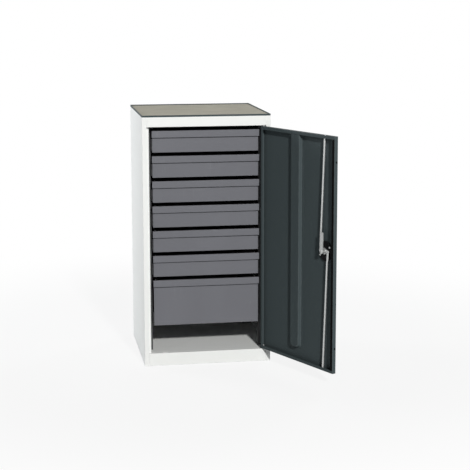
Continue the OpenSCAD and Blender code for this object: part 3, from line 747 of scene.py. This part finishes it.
rail_sheet("upper_rail_sheet", "top_rail", [
    (FRONT_Y, CARCASS_H), (FRONT_Y, OPEN_Z1), (RETURN_Y, OPEN_Z1), (RETURN_Y, OPEN_Z1 + RAIL_LIP)],
    lambda x, y, z: z < OPEN_Z1 + NEAR)
rail_sheet("lower_rail_sheet", "bottom_rail", [
    (RETURN_Y, OPEN_Z0), (FRONT_Y, OPEN_Z0), (FRONT_Y, 0), (RETURN_Y, 0)],
    lambda x, y, z: z > OPEN_Z0 - NEAR)

inner_x = HALF_W - SHEET
bm = folded_sheet([(-inner_x, RETURN_Y, OPEN_Z0 - FLOOR_FOLD), (-inner_x, RETURN_Y, OPEN_Z0),
                   (-inner_x, BACK_Y - 2 * SHEET, OPEN_Z0)], (2 * inner_x, 0, 0), FOLD_R)
thicken(bm, SHEET, (0, 0, 1))
show(bm, "floor_sheet", "carcass_white", "carcass", ["floor_panel"])

# %% [markdown]
# ## Tray and mat
#
# The top is a shallow tray with a dark rim, and a ribbed rubber mat lies in it. The tray is a
# block whose top is inset for the rim and pushed down. The mat is a grid of long faces: one
# inset of every face by itself, with a depth, raises all the ribs in a single step.

# %% Tray
tray_low, tray_high = box_mm("top_tray")
RIM_T, TRAY_T = 2.5, 1.0
TRAY_CORNER_R, RIM_EDGE_R = 3.0, 0.9
bm = bmesh.new()
block(bm, tray_low, tray_high)
round_edges(bm, upright_edges(bm), TRAY_CORNER_R, 4)
top_face = faces_towards(bm, (0, 0, 1))
inset(bm, top_face, RIM_T)
recess(bm, top_face, corner(0, 0, TRAY_T - (tray_high.z - tray_low.z)))
bm.normal_update()
rim = [e for e in bm.edges if all(abs(v.co.z - tray_high.z * MM) < SAME_POINT for v in e.verts)
       and e.calc_face_angle(0.0) > SQUARE_ANGLE]
round_edges(bm, rim, RIM_EDGE_R)
show(bm, "tray_rim", "anthracite_paint", "carcass", ["top_tray"], recalculate=True)

# %% Ribbed mat
mat_low, mat_high = box_mm("ribbed_mat")
RIBS = 99
RIB_H, RIB_FLANK = 1.0, 1.1
bm = bmesh.new()
rib_foot = mat_high.z - RIB_H
bmesh.ops.create_grid(bm, x_segments=1, y_segments=RIBS, size=0.5)
fit(bm, bm.verts[:], (mat_low.x, mat_low.y, rib_foot), (mat_high.x, mat_high.y, rib_foot))
bmesh.ops.inset_individual(bm, faces=bm.faces[:], thickness=RIB_FLANK * MM, depth=RIB_H * MM,
                           use_even_offset=True)
pull(bm, corner(0, 0, RIB_H - (mat_high.z - mat_low.z)), open_edges(bm))
bmesh.ops.contextual_create(bm, geom=open_edges(bm))
show(bm, "rubber_mat", "mat_rubber", "carcass", ["ribbed_mat"], recalculate=True)

# %% [markdown]
# ## The door: a folded pan
#
# The door is one sheet folded up on all four sides, and each side is folded in once more as a
# narrow lip. A block gives the pan its place. Its back is inset by the width of the lip and
# deleted, the edges are rounded, and the open shell gets its wall inwards. It is modelled shut,
# where all its sizes are plain, and then swung out about the hinge, as the real door is hung.

# %% Door sizes
DOOR_T = 16.0
DOOR_GAP = 2.5
DOOR_LIP = 12.0
DOOR_FOLD_R = 1.6
DOOR_HALF = OPEN_HALF - DOOR_GAP
DOOR_Z0, DOOR_Z1 = (c.z for c in box_mm("door_shell"))
DOOR_BACK_Y = FRONT_Y + DOOR_T
hang = Matrix.Translation(HINGE * MM) @ swing @ Matrix.Translation(-HINGE * MM)
print("door", DOOR_HALF * 2, "wide, from", round(DOOR_Z0, 1), "to", round(DOOR_Z1, 1))


def show_hung(bm, name, slot, body, nodes, recalculate=True):
    """Swings what was modelled on the shut door to where the open door rests, and shows it."""
    bmesh.ops.transform(bm, matrix=hang, verts=bm.verts[:])
    show(bm, name, slot, body, nodes, recalculate)


# %% Door pan
DOOR_SLOT = (9.6, 4.3)
BUSH_HOLE, SPINDLE_HOLE = 2.9, 8.6


def at_end(x, y, z):
    """Whether a point is on the top or the bottom edge of the door."""
    return z < DOOR_Z0 + NEAR or z > DOOR_Z1 - NEAR


bm = bmesh.new()
block(bm, (-DOOR_HALF, FRONT_Y, DOOR_Z0), (DOOR_HALF, DOOR_BACK_Y, DOOR_Z1))
back_face = faces_towards(bm, (0, 1, 0))
inset(bm, back_face, DOOR_LIP)
bmesh.ops.delete(bm, geom=back_face, context="FACES")
round_edges(bm, bends(bm), DOOR_FOLD_R)
rod_window(bm, DOOR_SLOT, at_end)
punch(bm, (HINGE.x - BUSH_HOLE, HINGE.y - BUSH_HOLE, None),
      (HINGE.x + BUSH_HOLE, HINGE.y + BUSH_HOLE, None), at_end)
punch(bm, (LOCK_X - SPINDLE_HOLE, None, LOCK_Z - SPINDLE_HOLE),
      (LOCK_X + SPINDLE_HOLE, None, LOCK_Z + SPINDLE_HOLE), lambda x, y, z: y < FRONT_Y + NEAR)
thicken(bm, SHEET, (0, -1, 0))
show_hung(bm, "door_pan", "anthracite_paint", "door", ["door_shell"], recalculate=False)

# %% [markdown]
# ## Stiffener
#
# A pressed channel runs down the inside of the door and keeps the thin pan from twisting. It is
# spot-welded on along its flange, and its lower end is closed and rounded. It could be drawn as a
# section and pulled, but then the end would be open. So it starts as one flat sheet with its two
# lower corners rounded, is inset once for the flange and inset again with a depth for the press.

# %% Pressed channel
CHANNEL_X = (-15.5, 34.5)
CHANNEL_FLANGE, CHANNEL_SLANT = 8.0, 3.0
CHANNEL_TOP_GAP = 1.8
CHANNEL_END_R = 23.0
CHANNEL_RISE = DOOR_T - 3 * SHEET - 0.1
ONTO_FRONT = Matrix.Rotation(math.radians(90), 4, "X")
channel_end = box_mm("door_stiffener")[0].z
reach = CHANNEL_FLANGE + CHANNEL_SLANT
channel_low = (CHANNEL_X[0] - reach, FRONT_Y + SHEET, channel_end - CHANNEL_FLANGE)
channel_high = (CHANNEL_X[1] + reach, FRONT_Y + SHEET, DOOR_Z1 - CHANNEL_TOP_GAP)
bm = bmesh.new()
bmesh.ops.create_grid(bm, x_segments=1, y_segments=1, size=0.5, matrix=ONTO_FRONT)
fit(bm, bm.verts[:], channel_low, channel_high)
lower = [v for v in bm.verts if v.co.z < channel_end * MM]
bevel(bm, lower, CHANNEL_END_R, 6, "VERTICES")
bm.normal_update()
middle = bm.faces[:]
if middle[0].normal.y < 0:
    bmesh.ops.reverse_faces(bm, faces=middle)
inset(bm, middle, CHANNEL_FLANGE, use_boundary=True)
inset(bm, middle, CHANNEL_SLANT, CHANNEL_RISE)
round_edges(bm, bends(bm), DOOR_FOLD_R)
bmesh.ops.translate(bm, verts=bm.verts[:], vec=corner(0, SHEET, 0))
thicken(bm, SHEET, (0, 1, 0))
show_hung(bm, "door_channel", "anthracite_paint", "door", ["door_stiffener"], recalculate=False)

# %% [markdown]
# ## Turned pieces
#
# Screw heads, bushes, plugs, the lock housing and the handle's neck are all round. On a lathe a
# section is turned about an axis, and spin does the same with a line of vertices. Merging the
# doubles on the axis afterwards closes the poles. On the housing and the rosette a bevel over the
# sharp rings then gives the small radius that catches a highlight.


# %% Lathe
def lathe(bm, section, centre, axis, steps, soften=0.0):
    """Turns a section of (radius, distance along the axis) pairs, in mm, about an axis."""
    axis = Vector(axis)
    outward = Vector((0, 0, 1)) if abs(axis.x) > 0.5 else Vector((1, 0, 0))
    before = set(bm.verts)
    points = [(Vector(centre) + outward * r + axis * along) * MM for r, along in section]
    bmesh.ops.spin(bm, geom=draw_line(bm, points), cent=Vector(centre) * MM, axis=axis,
                   dvec=(0, 0, 0), angle=math.tau, steps=steps, use_merge=True,
                   use_normal_flip=False, use_duplicate=False)
    turned = [v for v in bm.verts if v not in before]
    bmesh.ops.remove_doubles(bm, verts=turned, dist=SAME_POINT)
    if soften:
        sharp = [e for e in bends(bm) if not any(v in before for v in e.verts)]
        round_edges(bm, sharp, soften, 2)


# %% [markdown]
# ## Rubber and bushes on the door
#
# A flat rubber strip lies on the lip at the free edge, and two plugs sit in that edge, so that
# the door shuts quietly. The strip is a block whose face is cut along its length, and the narrow
# faces between the cuts are sunk as grooves. The plugs are turned. So are the bushes in the
# door's top and bottom edge, which are plain collars that run on the hinge pins.

# %% Edge strip
SEAL_INSET, SEAL_T = 1.0, 1.2
GROOVE_SIDES = (0.28, 0.36, 0.64, 0.72)
GROOVE_DEPTH = 0.4
GROOVE_WIDEST = 1.5
bm = bmesh.new()
block(bm, (-DOOR_HALF + SEAL_INSET, DOOR_BACK_Y, DOOR_Z0 + DOOR_LIP),
      (-DOOR_HALF + DOOR_LIP, DOOR_BACK_Y + SEAL_T, DOOR_Z1 - DOOR_LIP))
cut(bm, (1, 0, 0), [-DOOR_HALF + SEAL_INSET + share * (DOOR_LIP - SEAL_INSET)
                    for share in GROOVE_SIDES])
narrow = GROOVE_WIDEST * MM * (DOOR_Z1 - DOOR_Z0) * MM
grooves = [f for f in faces_towards(bm, (0, 1, 0)) if f.calc_area() < narrow]
recess(bm, grooves, corner(0, -GROOVE_DEPTH, 0))
show_hung(bm, "edge_strip", "buffer_rubber", "door", ["door_seal"])

# %% Edge plugs
PLUG_SECTION = ((0, -1.2), (2.2, -1.1), (3.4, -0.7), (4.0, 0.0), (2.5, 0.0), (2.5, 3.2),
                (1.6, 4.0), (0, 4.0))
PLUG_DEPTH, PLUG_FROM_END = 5.5, 95.0
bm = bmesh.new()
for z in (DOOR_Z0 + PLUG_FROM_END, DOOR_Z1 - PLUG_FROM_END):
    lathe(bm, PLUG_SECTION, (-DOOR_HALF, FRONT_Y + PLUG_DEPTH, z), (1, 0, 0), 24)
show_hung(bm, "edge_plugs", "buffer_rubber", "door", ["door_buffers"])

# %% Hinge bushes
BUSH_R, PIN_R, BUSH_LEN = 3.6, 2.55, 12.0
BUSH_SECTION = ((PIN_R, -0.2), (4.1, -0.2), (4.3, 0.0), (BUSH_R, 0.0), (BUSH_R, BUSH_LEN - 0.6),
                (BUSH_R - 0.5, BUSH_LEN), (PIN_R, BUSH_LEN), (PIN_R, -0.2))
bm = bmesh.new()
for z, inward in ((DOOR_Z0, 1), (DOOR_Z1, -1)):
    lathe(bm, BUSH_SECTION, (HINGE.x, HINGE.y, z), (0, 0, inward), 24)
show_hung(bm, "bushes", "zinc_steel", "door", ["hinge_bushes"])

# %% [markdown]
# ## The lock
#
# A round housing is screwed to the inside of the door. Its spindle turns a cam plate with two
# pins, one for each locking rod, and a long zinc tongue that reaches behind the stile. The rods
# are round bar, hammered flat where the pins go through. The housing is turned with a shallow
# ring in its face, and each rod is pulled out of one circle that is squeezed from ring to ring.

# %% Housing
SPINDLE_BORE = 8.05
HOUSING_SECTION = (
    (SPINDLE_BORE, 1.0), (39.0, 1.0), (39.0, 3.4), (37.2, 5.5), (27.5, 5.5), (26.8, 4.6),
    (14.8, 4.6), (14.0, 5.5), (SPINDLE_BORE, 5.5), (SPINDLE_BORE, 1.0))


def turn_at_lock(bm, section, steps, soften=0.0):
    """Turns a section about the lock's axis, with its distances from the door's outer face."""
    lathe(bm, section, (LOCK_X, FRONT_Y, LOCK_Z), (0, 1, 0), steps, soften)


bm = bmesh.new()
turn_at_lock(bm, HOUSING_SECTION, 64, 0.35)
show_hung(bm, "housing", "black_plastic", "door", ["lock_housing"])

# %% Screw heads
SCREW_R, SCREW_ANGLE = 33.0, math.radians(32)
ARM_REACH = 3.4
RECESS_SHARE = 0.6
screw_at = Vector((math.cos(SCREW_ANGLE), 0, math.sin(SCREW_ANGLE))) * SCREW_R


def cross_head(bm, centre, depth, radius, height, slot):
    """A pan head with a cross recess, on the lock's side of a plane at depth."""
    x, z = centre
    lathe(bm, ((0, depth), (radius, depth), (radius, depth + height * 0.45),
               (radius * 0.8, depth + height * 0.85), (radius * 0.5, depth + height),
               (0, depth + height)), (x, FRONT_Y, z), (0, 1, 0), 24)
    reach = ARM_REACH * slot
    cut(bm, (1, 0, 0), (x - slot, x + slot, x - reach, x + reach))
    cut(bm, (0, 0, 1), (z - slot, z + slot, z - reach, z + reach))
    bm.normal_update()
    arms = []
    for face in bm.faces:
        at = face.calc_center_median() / MM
        dx, dz = abs(at.x - x), abs(at.z - z)
        on_top = at.y > FRONT_Y + depth + height * 0.9
        if on_top and min(dx, dz) < slot and max(dx, dz) < reach:
            arms.append(face)
    recess(bm, arms, corner(0, -RECESS_SHARE * height, 0))


bm = bmesh.new()
for side in (-1, 1):
    head = bmesh.new()
    cross_head(head, (LOCK_X - side * screw_at.x, LOCK_Z + side * screw_at.z),
               depth=5.5, radius=4.0, height=2.6, slot=0.55)
    made = bpy.data.meshes.new("head")
    head.to_mesh(made)
    head.free()
    bm.from_mesh(made)
    bpy.data.meshes.remove(made)
show_hung(bm, "housing_screw_heads", "zinc_steel", "door", ["housing_screws"])

# %% Tongue and its screw
# The strip is joggled, which is a small step back near its tip, and its foot is a half round.
TONGUE_DEPTH, TONGUE_T, TONGUE_W, TONGUE_LEN = 20.5, 3.0, 19.0, 72.0
JOGGLE, JOGGLE_FROM, JOGGLE_TO = 1.0, 36.0, 42.0
TONGUE_TIP_R, TONGUE_EDGE_R = 3.0, 0.35
tongue_x = LOCK_X - TONGUE_W / 2
back = FRONT_Y + TONGUE_DEPTH + TONGUE_T
bm = bmesh.new()
draw_line(bm, [corner(tongue_x, y, LOCK_Z + z) for y, z in (
    (back, -TONGUE_W / 2), (back, JOGGLE_FROM), (back - JOGGLE, JOGGLE_TO),
    (back - JOGGLE, TONGUE_LEN))])
pull(bm, corner(TONGUE_W, 0, 0))
for low, radius in ((True, TONGUE_W / 2 - 0.05), (False, TONGUE_TIP_R)):
    ends = [v for v in bm.verts if len(v.link_edges) == 2 and (v.co.z < LOCK_Z * MM) == low]
    bevel(bm, ends, radius, 8, "VERTICES")
thicken(bm, TONGUE_T, (0, 1, 0))
round_edges(bm, bends(bm), TONGUE_EDGE_R, 2)
show_hung(bm, "tongue", "zinc_steel", "lock", ["lock_tongue"])

bm = bmesh.new()
cross_head(bm, (LOCK_X, LOCK_Z), depth=TONGUE_DEPTH + TONGUE_T, radius=7.0, height=2.6, slot=0.9)
show_hung(bm, "tongue_screw_head", "zinc_steel", "lock", ["tongue_screw"])

# %% Rods
# Each ring is a distance along the rod, with the rod's width and thickness there.
CAM_R, ROD_D, ROD_END_D = 21.5, 8.0, 6.2
FLAT_RINGS = ((-5.9, 3.0, 2.2), (-5.0, 6.6, 3.0), (-3.4, 9.8, 3.0), (-1.0, 11.8, 3.0),
              (2.0, 12.0, 3.0), (24.0, 12.0, 3.0), (29.0, 10.8, 4.4), (34.0, 8.6, 7.2),
              (38.0, ROD_D, ROD_D))


def locking_rod(name, side, end_z):
    """A rod from its pin, CAM_R to one side of the lock's axis, to the slot in the door's end."""
    start = Vector((LOCK_X + side * CAM_R, ROD_Y, LOCK_Z))
    end = Vector((LOCK_X, ROD_Y, end_z))
    length = (end - start).length
    rings = FLAT_RINGS + ((length - 1.2, ROD_D, ROD_D), (length, ROD_END_D, ROD_END_D))
    bm = bmesh.new()
    ring = bmesh.ops.create_circle(bm, cap_ends=False, radius=0.5 * MM, segments=20)["verts"]
    edges = bm.edges[:]
    width, thick, at = 1.0, 1.0, 0.0
    for station, new_width, new_thick in rings:
        if station != rings[0][0]:
            made = bmesh.ops.extrude_edge_only(bm, edges=edges)["geom"]
            ring = verts_of(made)
            edges = [g for g in made if isinstance(g, bmesh.types.BMEdge)
                     and all(v in ring for v in g.verts)]
        bmesh.ops.scale(bm, verts=ring, vec=(new_width / width, new_thick / thick, 1.0))
        bmesh.ops.translate(bm, verts=ring, vec=(0, 0, (station - at) * MM))
        width, thick, at = new_width, new_thick, station
    bmesh.ops.holes_fill(bm, edges=open_edges(bm), sides=0)
    lean = Matrix.Rotation(math.atan2(end.x - start.x, end.z - start.z), 4, "Y")
    bmesh.ops.transform(bm, matrix=Matrix.Translation(start * MM) @ lean, verts=bm.verts[:])
    show_hung(bm, name + "_bar", "zinc_steel", name, [name])


locking_rod("upper_rod", 1, DOOR_Z1)
locking_rod("lower_rod", -1, DOOR_Z0)

# %% [markdown]
# ## The handle
#
# Outside, a rosette covers the hole, and a short neck carries a tapered grip with the key barrel
# in it. The grip is the hull of a large and a small disc, which is how such grips are drawn too.
# Four circles and one convex_hull make it, and a bevel takes the edge off, as the mould does.

# %% Rosette
ROSETTE_SECTION = ((8.3, 0.0), (25.0, 0.0), (25.0, -1.6), (23.4, -3.0), (19.5, -3.0), (8.3, -3.0),
                   (8.3, 0.0))
bm = bmesh.new()
turn_at_lock(bm, ROSETTE_SECTION, 48, 0.3)
show_hung(bm, "rosette", "black_plastic", "door", ["lock_rosette"])

# %% Grip
GRIP_FACE, GRIP_BACK = -25.3, -11.3
GRIP_TOP_R, GRIP_END_R, GRIP_REACH = 13.0, 9.0, 47.0
GRIP_EDGE_R = 2.6


def circle_at_lock(bm, depth, drop, radius):
    """A circle of vertices facing the front, at a depth and some way below the lock's axis."""
    at = Matrix.Translation(corner(LOCK_X, FRONT_Y + depth, LOCK_Z - drop))
    return bmesh.ops.create_circle(bm, cap_ends=False, radius=radius * MM, segments=40,
                                   matrix=at @ ONTO_FRONT)["verts"]


bm = bmesh.new()
for radius, drop in ((GRIP_TOP_R, 0.0), (GRIP_END_R, GRIP_REACH)):
    for depth in (GRIP_FACE, GRIP_BACK):
        circle_at_lock(bm, depth, drop, radius)
hull = bmesh.ops.convex_hull(bm, input=bm.verts[:])
bmesh.ops.delete(bm, geom=verts_of(hull["geom_interior"]), context="VERTS")
bmesh.ops.dissolve_limit(bm, angle_limit=math.radians(2), verts=bm.verts[:], edges=bm.edges[:])
square = [e for e in bends(bm) if e.calc_face_angle(0.0) > SQUARE_ANGLE]
round_edges(bm, square, GRIP_EDGE_R, 4)

# %% Barrel hole and neck
# The grip's face is filled again round the mouth of a blind hole, and the neck is turned on it.
BARREL_HOLE_R, BARREL_HOLE_DEPTH = 8.55, 12.0
NECK_SECTION = ((SPINDLE_BORE, GRIP_BACK), (17.0, GRIP_BACK), (17.4, -9.5), (18.0, -4.6),
                (17.6, -3.3), (SPINDLE_BORE, -3.3), (SPINDLE_BORE, GRIP_BACK))
front_of_grip = max(faces_towards(bm, (0, -1, 0)), key=lambda f: f.calc_area())
outline = front_of_grip.edges[:]
bmesh.ops.delete(bm, geom=[front_of_grip], context="FACES_ONLY")
mouth = circle_at_lock(bm, GRIP_FACE, 0.0, BARREL_HOLE_R)
mouth_edges = [e for e in bm.edges if e.verts[0] in mouth and e.verts[1] in mouth]
bmesh.ops.triangle_fill(bm, edges=outline + mouth_edges, use_beauty=True)
made = pull(bm, corner(0, BARREL_HOLE_DEPTH, 0), mouth_edges)
bottom = [g for g in made if isinstance(g, bmesh.types.BMEdge) and len(g.link_faces) == 1]
bmesh.ops.contextual_create(bm, geom=bottom)
turn_at_lock(bm, NECK_SECTION, 40)
show_hung(bm, "handle", "black_plastic", "lock", ["lock_handle"])

# %% Key barrel
BARREL_SECTION = ((0, -14.6), (8.5, -14.6), (8.5, -25.9), (7.9, -26.5), (5.6, -26.5),
                  (5.2, -26.1), (0, -26.1))
KEY_HALF_W, KEY_HALF_H, KEY_DEPTH = 0.8, 4.0, 6.0
bm = bmesh.new()
turn_at_lock(bm, BARREL_SECTION, 40)
cut(bm, (1, 0, 0), (LOCK_X - KEY_HALF_W, LOCK_X + KEY_HALF_W))
cut(bm, (0, 0, 1), (LOCK_Z - KEY_HALF_H, LOCK_Z + KEY_HALF_H))
bm.normal_update()
key_slot = [f for f in faces_towards(bm, (0, -1, 0))
            if abs(f.calc_center_median().x / MM - LOCK_X) < KEY_HALF_W
            and abs(f.calc_center_median().z / MM - LOCK_Z) < KEY_HALF_H]
recess(bm, key_slot, corner(0, KEY_DEPTH, 0))
show_hung(bm, "barrel", "zinc_steel", "key", ["key_barrel"])

# %% [markdown]
# ## Drawers
#
# A drawer front is one folded strip: the face rises at the back, runs forward over the top and
# turns down as a lip as wide as the opening, with a narrow hem so that the edge is safe to hold.
# Behind it sits a plain folded box with a rim turned in. All seven are the same but for their
# height, so one function makes them, which keeps every drawer true to the same sizes.

# %% Drawer pieces
FRONT_T, BOX_T = 1.2, 1.0
LIP_H, HEM = 26.0, 2.6
LIP_OVERHANG = 2.5
FACE_NEAR = 0.8
RIM = 3.0
FRONT_FOLD_R, BOX_FOLD_R = 1.5, 1.6


def drawer(number):
    """The front and the box of one drawer, where the frame has them."""
    name = "drawer_%d" % number
    front_low, front_high = box_mm(name + "_front")
    lip_y, back_y, top, half = front_low.y, front_high.y, front_high.z, front_high.x
    section = [(lip_y + HEM, top - LIP_H), (lip_y, top - LIP_H), (lip_y, top), (back_y, top),
               (back_y, front_low.z)]
    bm = folded_sheet([(-half, y, z) for y, z in section], (2 * half, 0, 0), FRONT_FOLD_R)
    face_half = half - LIP_OVERHANG
    cut(bm, (1, 0, 0), (-face_half, face_half))
    drop_faces(bm, lambda x, y, z: abs(x) > face_half and y > back_y - FACE_NEAR)
    thicken(bm, FRONT_T, (0, 1, 0))
    show(bm, name + "_face", "drawer_grey", name, [name + "_front"])

    bm = bmesh.new()
    block(bm, *box_mm(name + "_box"))
    rim = faces_towards(bm, (0, 0, 1))
    inset(bm, rim, RIM)
    bmesh.ops.delete(bm, geom=rim, context="FACES")
    round_edges(bm, bends(bm), BOX_FOLD_R)
    thicken(bm, BOX_T, (0, 0, -1))
    show(bm, name + "_tray", "drawer_grey", name, [name + "_box"])


for number in range(1, 8):
    drawer(number)
